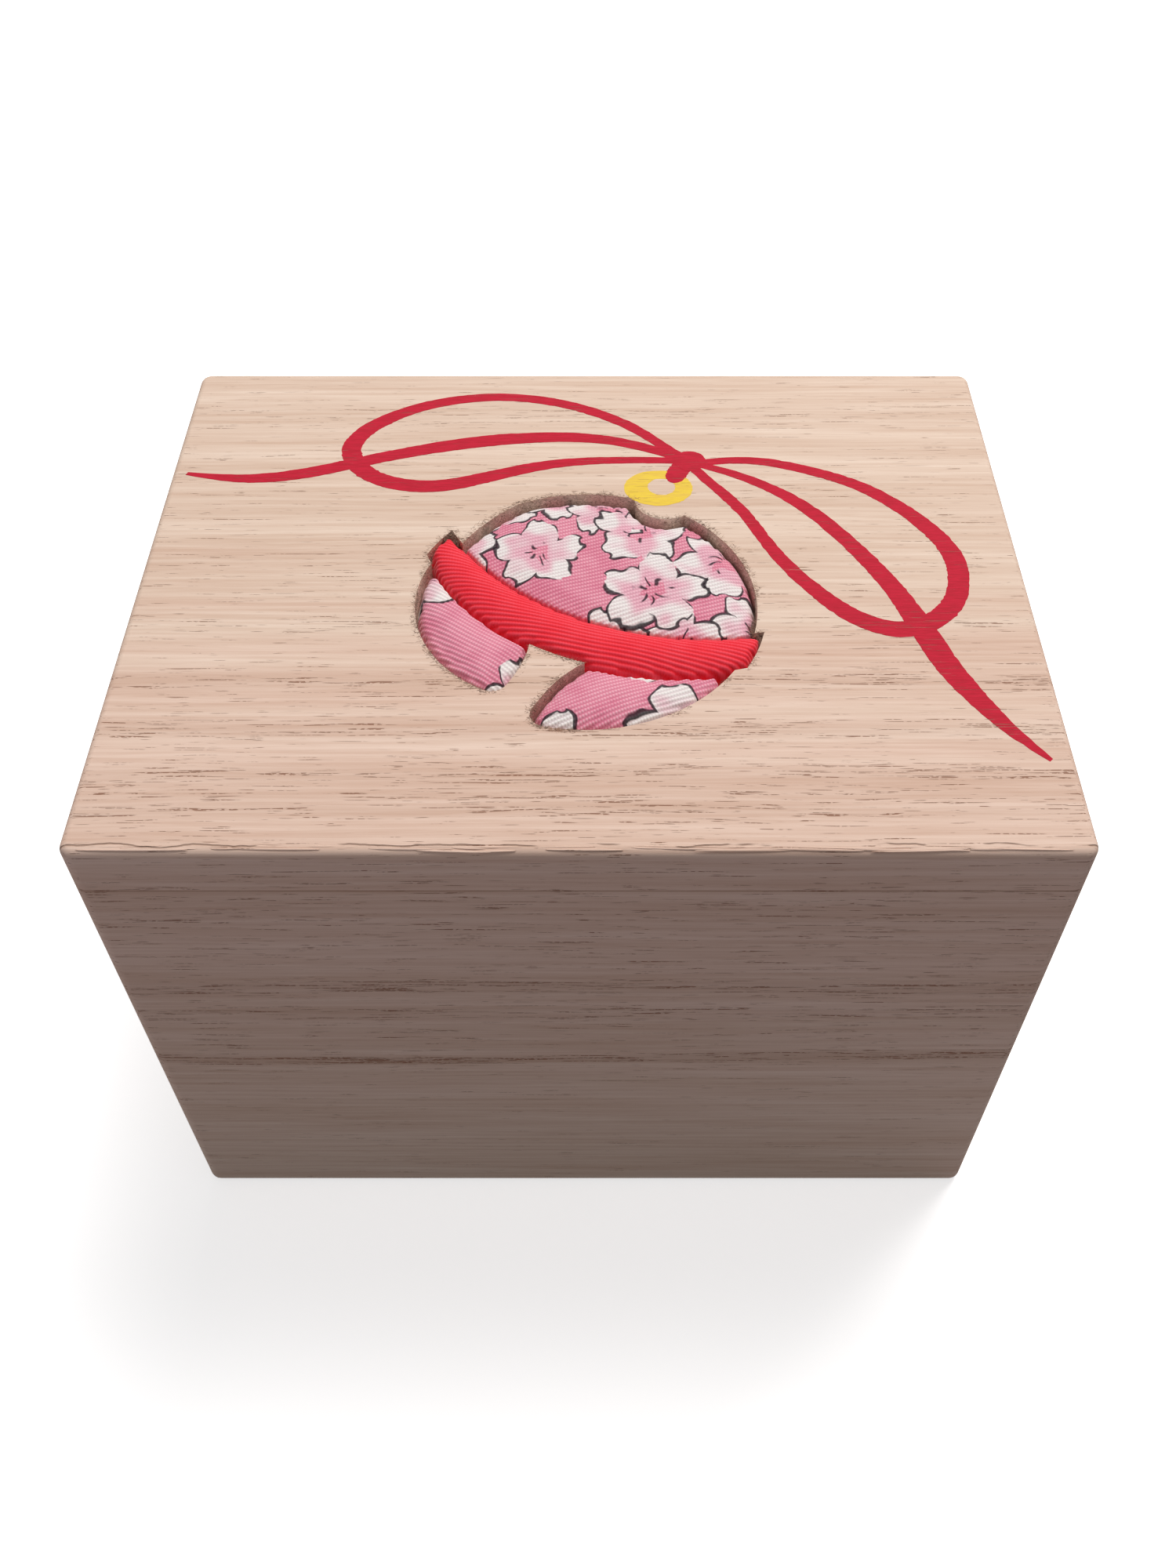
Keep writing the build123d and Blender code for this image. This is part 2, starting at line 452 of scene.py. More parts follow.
# %% One board's finish
def plank(name, crowding, along_y=False, shift=(0, 0, 0), tilt=0.0, rosy=(0, 60), waves=5.0):
    """The finish of one board: where its pores crowd, its grain, and where it turns pinkish."""
    wood = Finish(name, roughness=0.78, specular=0.22)
    spot = wood.place(math.pi / 2 if along_y else 0.0)
    in_log = wood.vector("ADD", spot, shift)
    _, across, up = wood.axes(spot)
    wander = wood.noise(in_log, wander_size) - 0.5
    depth = across * math.cos(tilt) + up * math.sin(tilt) + wander * waves
    crowd = wood.profile(depth, crowding)
    slip = wander * grain_slip
    in_log = wood.vector("ADD", in_log, wood.node("ShaderNodeCombineXYZ", None, 0.0, slip, slip))
    pores = pores_of(wood, in_log, crowd)
    fibres = wood.noise(in_log, fibre_size, 3.0)
    streaks = wood.noise(in_log, streak_size)
    broad = wood.noise(in_log, broad_size, 1.0)
    tone = fibres * 0.65 + streaks * 1.15 + broad * 0.9 - 0.77
    ground = wood.mix(tone, tan_wood, pale_wood)
    blush = wood.ramp(depth + (broad - 0.5) * 40, *rosy)
    ground = wood.mix(blush, ground, rosy_tint, "MULTIPLY")
    ground = wood.mix(crowd ** 2 * 0.09, ground, year_brown)
    side, front, _ = wood.axes(wood.node("ShaderNodeTexCoord").output("Normal"))
    end = wood.ramp(abs(front if along_y else side), 0.6, 0.95)
    ground = wood.mix(end * 0.55, ground, cut_end)
    colour = wood.mix(pores * 0.75, ground, pore_brown)
    # Painted shade: the seam's groove is darkened towards the pores' brown.
    colour = wood.mix(seam_shade(wood) * 0.35, colour, pore_brown)
    return wood, spot, pores, colour, fibres * 0.35 - pores


def dress(material, *node_names):
    """Gives CAD nodes a finish; their shape stays as it is."""
    for node_name in node_names:
        for place in nodes[node_name].material_slots:
            place.material = material


def board(name, crowding, *node_names, **kinds):
    wood, _, _, colour, relief = plank(name, crowding, **kinds)
    dress(wood.finish(colour, relief, depth=0.03), *node_names)


# %% The boards of the box
front_crowding = [
    (-4, 0.05), (23, 0.15), (25.6, 0.45), (26.2, 1.8), (27.2, 1.75), (28, 0.5), (33, 0.6),
    (33.9, 1.25), (34.5, 0.95), (35.1, 1.45), (35.6, 0.5), (37.8, 0.55), (38.3, 1.75),
    (38.7, 1.2), (39.2, 1.6), (40, 1.5), (40.7, 0.5), (48, 0.65), (58, 0.85),
]
back_crowding = [(0, 0.5), (12, 0.8), (13, 0.2), (30, 0.3), (41, 0.9), (42, 0.2), (60, 0.5)]
left_crowding = [
    (0, 0.2), (18, 0.3), (24, 0.9), (25, 0.2), (44, 0.4), (52, 0.9), (53, 0.3), (60, 0.4),
]
right_crowding = [(0, 0.3), (9, 0.7), (10, 0.2), (33, 0.3), (40, 0.8), (41, 0.2), (60, 0.5)]
floor_crowding = [(-40, 0.3), (-12, 0.6), (-10, 0.2), (14, 0.3), (20, 0.7), (21, 0.2), (40, 0.3)]
small_crowding = [(-60, 0.3), (60, 0.4)]

upright = math.pi / 2
side_grain = {"along_y": True, "tilt": upright}
battens = ("lid_batten_left", "lid_batten_right")
board("front_board", front_crowding, "front_wall", shift=(11, 4, 21), tilt=upright - 0.1)
board("back_board", back_crowding, "back_wall", shift=(63, 40, 17), tilt=upright + 0.15)
board("left_board", left_crowding, "left_wall", shift=(5, 23, 9), **side_grain)
board("right_board", right_crowding, "right_wall", shift=(37, 61, 31), **side_grain)
board("floor_board", floor_crowding, "bottom_board", shift=(71, 13, 3))
board("batten_wood", small_crowding, *battens, along_y=True, shift=(13, 9, 2))
board("peg_wood", small_crowding, "batten_pegs", shift=(3, 5, 7))

# %% [markdown]
# ## The pocket's outline
#
# The padded pieces have to fill the pocket that the lid board already has, so its outline is
# read from the board: a copy is merged, everything but the pocket's floor is deleted, and the
# floor's edges are walked in short steps. From those points any place on the lid knows how far
# inside the pocket it is, which is all that the pads and the frayed rim need.

# %% Read the outline from the lid board
lid_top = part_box("lid_board")[1].z
pocket_depth = 2.5 * MM
floor_height = lid_top - pocket_depth
step = 0.04 * MM
nearly = 0.01 * MM


def off_floor(face):
    """Whether a face of the lid board is anything but the pocket's floor."""
    return abs(face.calc_center_median().z - floor_height) > nearly or face.normal.z < 0.9


pick(nodes["lid_board"])
bpy.ops.object.duplicate()
pocket_floor = added("pocket_floor")
with editing(pocket_floor):
    bpy.ops.mesh.remove_doubles(threshold=0.001 * MM)
    pick_elements(pocket_floor, "faces", off_floor)
    bpy.ops.mesh.delete(type="FACE")

outline_points = []
shape = bmesh.new()
shape.from_mesh(pocket_floor.data)
for edge in shape.edges:
    if edge.is_boundary:
        start, end = (corner.co for corner in edge.verts)
        count = max(1, round((end - start).length / step))
        outline_points += [start.lerp(end, i / count) for i in range(count)]
floor_tree = BVHTree.FromBMesh(shape)
shape.free()
outline_tree = KDTree(len(outline_points))
for i, point in enumerate(outline_points):
    outline_tree.insert((point.x, point.y, 0), i)
outline_tree.balance()
bpy.data.objects.remove(pocket_floor)
print("outline, mm:", round(len(outline_points) * step / MM))


def inside_pocket(x, y):
    """How far a place on the lid is inside the pocket's outline; outside, it is negative."""
    distance = outline_tree.find((x, y, 0))[2]
    hit = floor_tree.ray_cast(Vector((x, y, 1)), Vector((0, 0, -1)))[0]
    return distance if hit is not None else -distance


# %% [markdown]
# ## The lid's wood
#
# The lid is the same wood, with two marks of its making. The pocket was cut by a punch, and its
# wall is rough end grain that has gathered brown dust, so below the top the finish turns darker
# and rougher. Along the front edge the soft wood has cracked and lifted in long fine lines,
# drawn as a thin line that wanders beside the edge and stops and starts.

# %% The lid's finish
bell_centre = Vector((0.4, -4.1)) * MM
lid_crowding = [
    (-35.5, 0.55), (-32.4, 0.45), (-31, 1.3), (-30.3, 1.15), (-29.9, 0.7), (-29.2, 1.05),
    (-28, 0.7), (-26.8, 1.2), (-26.1, 1.05), (-25.2, 0.6), (-24, 0.25), (-22.6, 0.45),
    (-21.5, 1.35), (-20.7, 1.2), (-19.8, 0.55), (-17.2, 0.28), (-16.2, 0.7), (-15.3, 1.25),
    (-14.6, 1.2), (-13.8, 0.6), (-11.5, 0.22), (-7, 0.75), (-4.7, 0.15), (-2, 0.5),
    (0, 0.2), (2, 0.6), (5, 0.12), (13.5, 0.4), (24.5, 0.12), (27.2, 0.75), (31, 0.12),
]
lid_grain = {"crowding": lid_crowding, "shift": (23, 31, 7), "rosy": (6, -26), "waves": 1.5}
dust = shade(238, 212, 194)
dark_dust = shade(200, 172, 154)
crack_brown = shade(122, 82, 60)
pocket_reach = (23.0, 22.0)
crack_line = 0.85
crack_wander = 1.4


def lid_wood():
    wood, spot, _, colour, relief = plank("lid_wood", **lid_grain)
    x, y, z = wood.axes(spot)
    below_top = z - lid_top / MM
    out = length_of(x - bell_centre.x / MM, y - bell_centre.y / MM)
    height = wood.ramp(below_top, -0.03, -0.5) * wood.ramp(below_top, -3.4, -3.0)
    wall = height * wood.ramp(out, *pocket_reach)
    crumbs = wood.noise(spot, 0.25, 3.0)
    dusty = wood.mix(wood.ramp(crumbs, 0.35, 0.65), dark_dust, dust)
    colour = wood.mix(wall * 0.9, colour, dusty)
    wander = (wood.noise(spot, (5, 40, 40), 3.0) - 0.5) * crack_wander
    beside_line = y - (cad_low.y / MM + crack_line) + wander
    stretch = wood.ramp(wood.noise(spot, (6, 50, 50)), 0.4, 0.46)
    on_line = wood.ramp(abs(beside_line), 0.12, 0.03)
    crack = on_line * stretch * wood.ramp(below_top, -0.9, -0.6)
    colour = wood.mix(crack * 0.6, colour, crack_brown)
    relief = relief + wall * crumbs * 5 - crack * 3
    return wood.finish(colour, relief, depth=0.03)


dress(lid_wood(), "lid_board")

# %% [markdown]
# ## The four pads
#
# On the real box each pad is a bit of sponge on card with crepe drawn over it, pushed into the
# pocket so that the cloth's edge tucks down along the wall. A grid laid along the ribs of the
# cloth is cut to each pad's plan, its last row of points is drawn out to the plan's edge, and
# the middle is raised to the pad's crown. Then it is blown up a little by a cloth simulation,
# with its edge held down, which rounds it the way tight cloth does.
#
# The simulation is at home with cushions, so the pad is made 25 times larger for it.

# %% The bell's own measures, as in the CAD model
bell_tilt = math.radians(23)
bell_right = Vector((math.cos(bell_tilt), -math.sin(bell_tilt)))
bell_up = Vector((math.sin(bell_tilt), math.cos(bell_tilt)))


def in_bell(right, up):
    """A point given in the bell's own frame, in millimetres, as a place on the lid."""
    return bell_centre + (bell_right * right + bell_up * up) * MM


band_right = 1.4
band_top = -1.8
band_width = 6.0
band_top_radius = 30.0
band_bottom_radius = 27.3
band_top_centre = in_bell(band_right, band_top + band_top_radius)
band_bottom_centre = in_bell(band_right, band_top - band_width + band_bottom_radius)
tongue_root = in_bell(0.1, -7.8)
tongue_turn = bell_tilt + math.radians(7.2)
tongue_way = Vector((math.sin(tongue_turn), math.cos(tongue_turn)))


def above_band(x, y):
    return band_top_radius * MM - (Vector((x, y)) - band_top_centre).length


def below_band(x, y):
    return (Vector((x, y)) - band_bottom_centre).length - band_bottom_radius * MM


def left_of_tongue(x, y):
    out = Vector((x, y)) - tongue_root
    return tongue_way.x * out.y - tongue_way.y * out.x


# %% Plans of the pads
def within(in_wall=1, above=0, below=0, left=0):
    """How far inside its limits a place is. Each limit has a weight, and 0 leaves it out."""
    limits = (inside_pocket, above_band, below_band, left_of_tongue)
    used = [pair for pair in zip(limits, (in_wall, above, below, left)) if pair[1]]
    return lambda x, y: min(limit(x, y) * weight for limit, weight in used)


# %% Cutting a grid to a pad's plan
rib_pitch = 0.49 * MM
wall_gap = 0.06 * MM
grid_cells = 84
merge_distance = 0.12 * MM


def slope(inside, x, y, h=0.02 * MM):
    """The way in which a place gets deeper inside a plan, as a unit vector."""
    way = Vector((inside(x + h, y) - inside(x - h, y), inside(x, y + h) - inside(x, y - h)))
    return way.normalized() if way.length > 0 else Vector((0, 1))


def draw_to_edge(spot, inside, tries=3):
    """Moves a point of the last row out to the plan's edge."""
    for _ in range(tries):
        short = inside(spot.x, spot.y) - wall_gap
        way = slope(inside, spot.x, spot.y)
        spot.x -= way.x * short
        spot.y -= way.y * short


def rim_edges(piece):
    pick_elements(piece, "edges", lambda edge: edge.is_boundary)


def cut_grid(name, inside, rib_angle):
    """A sheet of square cells along the ribs, cut to the plan, with a row drawn to its edge."""
    bpy.ops.mesh.primitive_grid_add(
        x_subdivisions=grid_cells, y_subdivisions=grid_cells, size=grid_cells * rib_pitch,
        location=(bell_centre.x, bell_centre.y, floor_height), rotation=(0, 0, rib_angle),
    )
    pad = added(name)
    bpy.ops.object.transform_apply()
    margin = wall_gap + rib_pitch * 0.3
    with editing(pad):
        pick_elements(pad, "verts", lambda vert: inside(vert.co.x, vert.co.y) < margin)
        bpy.ops.mesh.delete(type="VERT")
        pick_elements(pad, "verts", lambda vert: not vert.link_faces)
        bpy.ops.mesh.delete(type="VERT")
        rim_edges(pad)
        bpy.ops.mesh.extrude_edges_move()
        shape = bmesh.from_edit_mesh(pad.data)
        for vert in shape.verts:
            if vert.select:
                draw_to_edge(vert.co, inside)
        bmesh.update_edit_mesh(pad.data)
        bpy.ops.mesh.remove_doubles(threshold=merge_distance)
    return pad


# %% Raising it and closing it
tucked_height = 0.3 * MM
raised_edge = 1.5 * MM
edge_rise = 0.45 * MM
foot_height = 0.02 * MM


def raise_crown(pad, inside, crown, shoulder, squareness):
    """Lifts the sheet from its edge to its crown over the width of its shoulder.

    Along the wall the edge is tucked low. Two neighbours press each other's edges up.
    """
    points = points_of(pad)
    for point in points:
        share = min(max(inside(point[0], point[1]) - wall_gap, 0) / shoulder, 1)
        rise = (1 - (1 - share) ** squareness) ** (1 / squareness)
        from_wall = min(max(inside_pocket(point[0], point[1]) - wall_gap, 0) / edge_rise, 1)
        edge = tucked_height + raised_edge * from_wall
        point[2] = floor_height + edge + (crown - edge) * rise
    set_points(pad, points)


def tuck_down(pad):
    """Takes the edge straight down to the pocket's floor."""
    foot = (0, 0, floor_height + foot_height)
    with editing(pad):
        rim_edges(pad)
        bpy.ops.mesh.extrude_edges_move()
        bpy.ops.transform.resize(value=(1, 1, 0), center_override=foot)


def close_below(pad):
    """Closes the pad with one flat face on the pocket's floor."""
    with editing(pad):
        rim_edges(pad)
        bpy.ops.mesh.edge_face_add()
        pick_all()
        bpy.ops.mesh.normals_make_consistent(inside=False)


def open_below(pad):
    """Takes the flat face away again; a face with so many corners is slow to subdivide."""
    with editing(pad):
        pick_elements(pad, "faces", lambda face: len(face.verts) > 4)
        bpy.ops.mesh.delete(type="ONLY_FACE")


# %% Blowing it up
puff_scale = 25.0
puff_frames = 20
puff_cap = 0.45 * MM


def puff(pad, inside, pressure):
    """Blows the pad up as a cushion, with its edge and its foot held where they are."""
    start = points_of(pad)
    held = pad.vertex_groups.new(name="held")
    low = floor_height + tucked_height * 1.3
    rim = [i for i, (x, y, z) in enumerate(start) if z < low or inside(x, y) < wall_gap * 3]
    held.add(rim, 1.0, "ADD")
    larger = Matrix.Scale(puff_scale, 4)
    pad.data.transform(larger)
    cloth = pad.modifiers.new("cloth", "CLOTH").settings
    cloth.use_pressure = True
    cloth.uniform_pressure_force = pressure
    cloth.vertex_group_mass = "held"
    cloth.effector_weights.gravity = 0
    for number in range(1, puff_frames + 1):
        scene.frame_set(number)
    apply_modifiers(pad)
    scene.frame_set(1)
    pad.data.transform(larger.inverted())
    moved = points_of(pad) - start
    far = np.linalg.norm(moved, axis=1, keepdims=True)
    print(pad.name, "swelled by, mm:", round(float(far.max()) / MM, 2))
    set_points(pad, start + moved * np.minimum(1, puff_cap / np.maximum(far, 1e-9)))
    pad.vertex_groups.clear()


# %% Lifting its ribs
rib_sway = 0.1
rib_sway_length = 9.0 * MM
rib_wear = 1.4 * MM
cuts = 2


def weave_ribs(pad, rib_angle, rib_height):
    """Divides the pad finely and lifts the ribs of the cloth out of its surface."""
    fine = pad.modifiers.new("finer", "SUBSURF")
    fine.levels = fine.render_levels = cuts
    apply_modifiers(pad)
    points = points_of(pad)
    normals = points_of(pad, "normal")
    across = np.array((-math.sin(rib_angle), math.cos(rib_angle)))
    along = np.array((math.cos(rib_angle), math.sin(rib_angle)))
    out = points[:, :2] - np.array(bell_centre)
    sway = rib_sway * np.sin(2 * math.pi * (out @ along) / rib_sway_length)
    phase = (out @ across) / rib_pitch + sway
    ridge = np.cos(2 * math.pi * phase)
    worn = np.array([0.75 + 0.5 * noise.noise(Vector(p) / rib_wear) for p in points])
    top = np.clip((normals[:, 2] - 0.25) / 0.4, 0, 1)
    set_points(pad, points + normals * (rib_height * ridge * worn * top)[:, None])


# %% The four pads
# Each has its plan, the plan that its height follows, the angle of its ribs, its height, its
# shoulder's width and squareness, the pressure, and the ribs' height. Beside the band and at
# its ends the cloth stays high to the last, so there the second plan counts several times.
pad_forms = {
    "upper_pad": (within(above=1), within(above=4), 19, 2.05, 3.0, 2.4, 1.4, 0.036),
    "band_pad": (
        within(above=-1, below=-1), within(5, above=-1, below=-1), -16, 2.8, 3.0, 2.3, 5.0, 0.042,
    ),
    "lower_left_pad": (
        within(below=1, left=1), within(below=3, left=1), -35, 2.05, 2.6, 2.3, 4.0, 0.04,
    ),
    "lower_right_pad": (
        within(below=1, left=-1), within(below=3, left=-1), 24, 2.05, 2.6, 2.3, 4.0, 0.04,
    ),
}
pads = {}
for name, (inside, crown_from, angle, crown, shoulder, square, pressure, rib) in pad_forms.items():
    rib_angle = math.radians(angle)
    pad = cut_grid(name, inside, rib_angle)
    raise_crown(pad, crown_from, crown * MM, shoulder * MM, square)
    tuck_down(pad)
    close_below(pad)
    puff(pad, inside, pressure)
    open_below(pad)
    weave_ribs(pad, rib_angle, rib * MM)
    close_below(pad)
    pick(pad)
    bpy.ops.object.shade_smooth()
    pads[name] = pad

# %% [markdown]
# ## Printed blossom crepe
#
# The cloth is crepe with a cherry blossom print, an old and common pattern: five petals with a
# notch, white at the rim and pink towards the middle, with a brush outline that swells, thins
# and ends before the middle. Each blossom is drawn by the material itself, from the distance to
# a petal's edge: inside is the petal, and close to the edge is the outline. The later blossoms
# of the list lie over the earlier ones.
#
# The ribs are real relief in the mesh. The colour follows them too, with a painted highlight on
# the crests and painted shade in the grooves, so the material repeats the ribs' formula.

# %% The crepe's print and ribs
ground_pink = shade(246, 156, 178)
deep_pink = shade(230, 122, 152)
# The pale pink of the painted highlight on the rib crests.
highlight_pink = shade(252, 208, 218)
petal_white = shade(254, 250, 246)
petal_pink = shade(246, 186, 202)
ink_black = shade(36, 24, 34)
# The red crepe's lighter crests and darker grooves are a painted highlight and a painted shade.
highlight_red = shade(255, 76, 94)
worn_red = shade(255, 58, 78)
groove_shade_red = shade(236, 10, 32)

# A blossom's measures, where 1 is its radius.
petals = 5
stamens = 7
petal_middle = 0.6
petal_length = 0.41
petal_breadth = 0.375
petal_scale = 0.39
notch_middle = 1.06
notch_radius = 0.13
line_width = 0.054
thread_width = (0.036, 0.014)
crisp = 0.012


def blossom(cloth, print_spot, weight, right, up, size, turn):
    """One blossom: its petals, its brush outline and stamens as masks, and its blush."""
    spot = cloth.seen_from(print_spot, (right, up, 0), math.radians(turn), size)
    x, y, _ = cloth.axes(spot)
    out = length_of(x, y)
    angle = y.math("ARCTAN2", x)
    sector = angle * (petals / (2 * math.pi))
    off_axis = (sector - sector.math("ROUND")) * (2 * math.pi / petals)
    along = out * off_axis.math("COSINE")
    aside = out * off_axis.math("SINE")
    rim = length_of((along - petal_middle) / petal_length, aside / petal_breadth)
    notch = notch_radius - length_of(along - notch_middle, aside)
    edge = ((rim - 1) * petal_scale).math("MAXIMUM", notch)
    petal = cloth.ramp(edge, crisp, -crisp)
    half_width = weight * line_width * cloth.ramp(out, 0.36, 0.7)
    brushed = cloth.ramp(abs(edge) - half_width, crisp, -0.01)
    line = brushed * cloth.ramp(out, 0.42, 0.5) * cloth.ramp(weight, 0.3, 0.37)
    ray = (angle * (stamens / (2 * math.pi)) + weight).math("FRACT") - 0.5
    thread = cloth.ramp(abs(ray * out * (2 * math.pi / stamens)), *thread_width)
    reach = cloth.ramp(out, 0.38, 0.3) * cloth.ramp(out, 0.09, 0.14)
    stamen = thread * reach * cloth.ramp(weight, 0.62, 0.54)
    blush = cloth.ramp(out + (weight - 0.5) * 0.9, 0.82, 0.34)
    return petal, line.math("MAXIMUM", stamen), blush


# %% The threads of the crepe
thread_twist = 0.3


def crepe_threads(cloth, spot, rib_angle):
    """The crests of the ribs and the twist of the threads along them, each from 0 to 1."""
    along, across, _ = cloth.axes(cloth.seen_from(spot, turn=rib_angle))
    sway = (along * (2 * math.pi * MM / rib_sway_length)).math("SINE") * rib_sway
    phase = across * (MM / rib_pitch) + sway
    crest = (phase * (2 * math.pi)).math("COSINE") * 0.5 + 0.5
    row = phase.math("ROUND") * 0.5
    twist = ((along / thread_twist + row) * (2 * math.pi)).math("COSINE") * 0.5 + 0.5
    return crest, twist


# %% The printed and the red crepe
bell_place = (bell_centre.x / MM, bell_centre.y / MM, 0)
wobble_size = 2.0
wobble_by = 1.7
weight_size = 2.3


def printed_crepe(name, rib_angle, blossoms):
    cloth = Finish(name, roughness=0.82, specular=0.2, sheen=0.25)
    spot = cloth.place(centre=bell_place)
    level = cloth.vector("MULTIPLY", spot, (1, 1, 0))
    wobble = cloth.noise(level, wobble_size, 0.0).output("Color")
    shake = cloth.vector("SUBTRACT", wobble, (0.5, 0.5, 0.5))
    shake = cloth.vector("MULTIPLY", shake, (wobble_by, wobble_by, 0))
    print_spot = cloth.vector("ADD", level, shake)
    weight = cloth.noise(level, weight_size, 0.0)
    worn = cloth.ramp(cloth.noise(spot, 3), 0.3, 0.75)
    crest, twist = crepe_threads(cloth, spot, rib_angle)
    # Painted highlight: the rib crests, where the threads twist up, are lightened towards a pale
    # pink.
    crest_highlight = crest * twist * (0.75 - worn * 0.35)
    colour = cloth.mix(crest_highlight, cloth.mix(worn * 0.7, ground_pink, deep_pink), highlight_pink)
    for place in blossoms:
        petal, line, blush = blossom(cloth, print_spot, weight, *place)
        # The petals' blush is thinner on the crests, also a painted highlight.
        dyed = cloth.mix(blush * (1 - crest_highlight * 0.4), petal_white, petal_pink)
        colour = cloth.mix(petal, colour, dyed)
        colour = cloth.mix(line * 0.93, colour, ink_black)
    # Painted shade: the grooves between ribs and threads are darkened, more in green and blue.
    shadow = 1 - (1 - crest) * 0.14 - (1 - twist) * 0.05
    tone = cloth.node("ShaderNodeCombineXYZ", None, shadow, shadow ** 1.5, shadow ** 1.3)
    colour = cloth.mix(1.0, colour, tone, "MULTIPLY")
    return cloth.finish(colour, crest * 0.6 + twist * 0.4)


def red_crepe(name, rib_angle):
    cloth = Finish(name, roughness=0.7, specular=0.25, sheen=0.2)
    spot = cloth.place(centre=bell_place)
    crest, twist = crepe_threads(cloth, spot, rib_angle)
    worn = cloth.noise(spot, 2.5)
    # Painted light on the ribs: a lighter red on the crests as painted highlight, with a random
    # worn tone, and a darker red in the grooves as painted shade.
    top = cloth.mix(cloth.ramp(worn, 0.3, 0.8), highlight_red, worn_red)
    colour = cloth.mix(crest * 0.85 + twist * 0.15, groove_shade_red, top)
    return cloth.finish(colour, crest * 0.7 + twist * 0.3)


# %% Where the blossoms lie, from the bell's centre: right, up, size and turn
blossoms_of = {
    "upper_pad": [
        (-13.7, 9.2, 4.7, 16), (-9.4, 16.4, 5, 30), (-3, 17.6, 4.8, 58), (2.2, 14.6, 4.6, 20),
        (16.9, -3.4, 4.9, 40), (9.4, -5.2, 4.4, 18), (2.2, -5.2, 4.6, 20), (14.2, 6.3, 5.2, 50),
        (5.7, 11, 5, 10), (-4.9, 7.7, 4.8, 18), (6.8, 1.8, 5.6, 12),
    ],
    "lower_left_pad": [(-17.2, 4.6, 5.4, 35), (-4.9, -12.2, 5.2, 42)],
    "lower_right_pad": [(9.4, -16.9, 6, 30), (-2.4, -19.4, 4.8, 18), (6.4, -5.4, 5.4, 40)],
}
for name, pad in pads.items():
    angle = math.radians(pad_forms[name][2])
    if name in blossoms_of:
        finish = printed_crepe(name + "_crepe", angle, blossoms_of[name])
        settle(pad, finish)
    else:
        settle(pad, red_crepe("band_crepe", angle))
    part = name.removesuffix("_pad")
    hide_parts(part + "_fabric", part + "_pad_core")

# %% [markdown]
# ## The printed cord and ring
#
# The bow is crimson ink, laid on with a stencil. Each stroke of it follows the middle of the
# printed line as a curve, whose points carry the line's width, because the line swells and
# thins like a brush stroke. The curve gives a ribbon, whose edges are frayed a little where ink
# crept along the grain, and which is given the thickness of a coat of ink. Each stroke lies a
# hair lower than the one before, so that no two faces share a plane where they cross, and the
# round knot lies over all of them.

# %% The strokes of the bow: places on the lid and widths, in millimetres
cord_strokes = {
    "left_loop": [
        (11.3, 19.2, 1.2), (9.8, 20.2, 1.2), (6.9, 23.9, 1.3), (3.2, 26.7, 1.4), (-0.6, 28.8, 1.4),
        (-5, 30.3, 1.4), (-10, 30.9, 1.4), (-15, 30.2, 1.5), (-19.1, 28.7, 1.6), (-22, 26.8, 1.8),
        (-24.3, 24.8, 2), (-25.7, 22.4, 2.1), (-25.9, 20.5, 2.2), (-25.2, 18.5, 2.2),
        (-23.9, 16.8, 2.1), (-22, 15.4, 2), (-19.1, 14.4, 2), (-15.7, 14.3, 2), (-12.8, 15.1, 1.9),
        (-9.8, 16.2, 1.8), (-6.1, 17.6, 1.6), (-2.4, 18.5, 1.4), (1.3, 18.9, 1.2), (5, 19, 1.1),
        (9.4, 18.9, 1.1), (11.5, 18.9, 1.1),
    ],
    "left_tail": [
        (11.4, 19, 1.2), (9.8, 19.9, 1.3), (5, 22.1, 1.4), (1.3, 22.9, 1.6), (-2.4, 23.2, 1.7),
        (-6.1, 23, 1.9), (-10, 22.6, 2), (-13.1, 22, 2), (-16.9, 21.1, 1.9), (-19.8, 20.2, 1.8),
        (-22.8, 19.3, 1.8), (-26.5, 17.9, 1.8), (-29.4, 16.9, 1.8), (-32.4, 16.1, 1.7),
        (-36.1, 15.6, 1.5), (-39.4, 15.8, 1.1), (-43.3, 16.6, 0.5),
    ],
    "right_loop": [
        (12, 18.3, 1.1), (15, 18.9, 1.1), (18, 19, 1.2), (21, 18.5, 1.3), (24.3, 17.3, 1.4),
        (27.7, 15.8, 1.5), (30.3, 14.2, 1.6), (32.7, 12, 1.7), (34.7, 9.8, 1.8), (36.4, 7.3, 2),
        (37.8, 4.7, 2.1), (38.4, 2, 2.2), (38.3, -0.4, 2.2), (37.7, -3.1, 2.2), (36.3, -5.4, 2.2),
        (34.3, -7, 2.2), (32.5, -7.9, 2.2), (30.2, -7.9, 2.2), (28, -6.8, 2.1), (26, -5.3, 2),
        (24, -2.9, 1.8), (21.9, -0.1, 1.6), (20.2, 2.9, 1.5), (18.8, 5.9, 1.4), (17.6, 9, 1.4),
        (15.9, 12, 1.3), (14, 14.7, 1.2), (12.2, 17.2, 1.2), (11.7, 18.6, 1.2),
    ],
    "right_tail": [
        (12.5, 18.3, 1), (16.3, 16.7, 1.1), (19.3, 14.8, 1.3), (22.1, 12.6, 1.5), (24.8, 9.6, 1.7),
        (27, 6.3, 1.8), (29, 3, 1.9), (30.7, -0.3, 2), (32, -3.3, 2.2), (33, -6.3, 2.5),
        (34, -9.3, 2.7), (34.9, -12.3, 2.6), (36, -14.8, 2.4), (37.3, -17.3, 2.1),
        (38.7, -19.7, 1.7), (40.3, -22.2, 1.2), (42.7, -24.9, 0.5),
    ],
    "knot_end": [
        (11.6, 19.2, 2), (10.9, 18, 2.3), (10.3, 16.9, 2.3), (9.95, 16, 2.2), (9.75, 15.3, 1.7),
        (9.65, 15, 0.5),
    ],
}
knot_place = (11.7 * MM, 18.8 * MM, 0)
